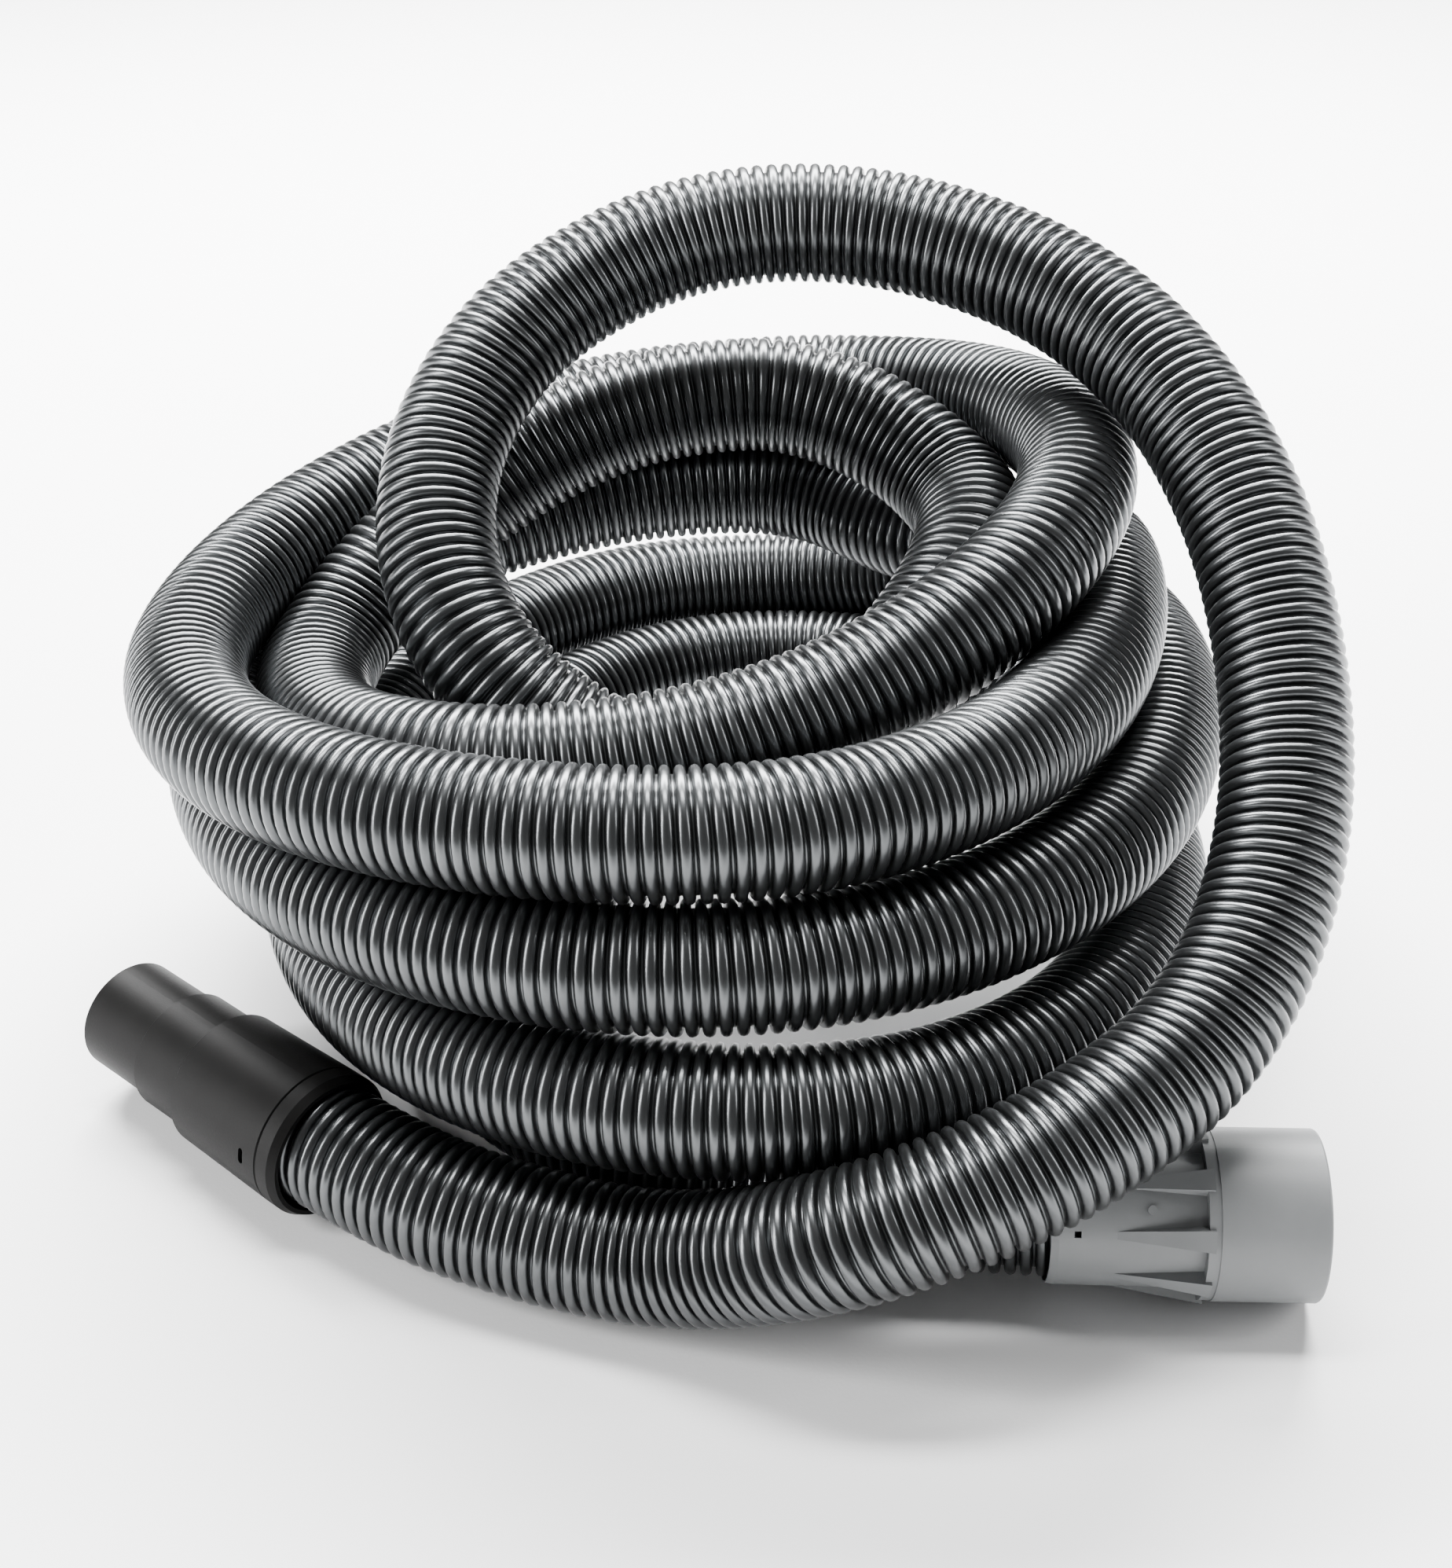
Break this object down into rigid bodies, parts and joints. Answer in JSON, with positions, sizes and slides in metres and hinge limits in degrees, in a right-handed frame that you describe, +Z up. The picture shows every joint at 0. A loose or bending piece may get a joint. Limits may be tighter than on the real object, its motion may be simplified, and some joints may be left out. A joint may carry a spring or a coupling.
{
  "type": "vacuum hose",
  "caption": "Coiled corrugated hose for a dust extractor, with a stepped swivel cuff for tools and a swivel connector for the machine.",
  "frame": {"origin": "floor point midway between the two end fittings, under the centre of the box round them", "axes": "+Z up; -Y towards the front, where both ends lie; +X from the tool cuff's side to the machine connector's side"},
  "size_m": [0.4407, 0.5065, 0.2837],
  "materials": {
    "hose_plastic": "silver-grey metallic, satin gloss",
    "black_plastic": "fine matte texture",
    "grey_plastic": "smooth matte",
    "ferrule_plastic": "plain moulded",
    "slip_plastic": "natural acetal, smooth",
    "seal_rubber": "matte"
  },
  "bodies": {
    "hose": {"hose_run": "hose_plastic", "hose_coil": "hose_plastic", "hose_tail": "hose_plastic", "tool_ferrule": "ferrule_plastic", "connector_ferrule": "ferrule_plastic"},
    "tool_cuff": {"tool_nozzle": "black_plastic", "tool_sleeve": "black_plastic", "tool_end_ring": "black_plastic", "tool_seal": "seal_rubber", "tool_slip_ring": "slip_plastic"},
    "machine_connector": {"connector_body": "grey_plastic", "connector_collar": "grey_plastic", "connector_lock_ring": "ferrule_plastic", "connector_seal": "seal_rubber"}
  },
  "joints": [
    {"name": "tool_cuff_swivel", "type": "hinge", "parent": "hose", "child": "tool_cuff", "pos_m": [-0.14549, 0.01471, 0.026], "axis": [0.7501, -0.6613, 0], "continuous": true},
    {"name": "machine_connector_swivel", "type": "hinge", "parent": "hose", "child": "machine_connector", "pos_m": [0.18101, -0.04822, 0.0287], "axis": [0.9997, -0.0262, 0], "continuous": true}
  ]
}
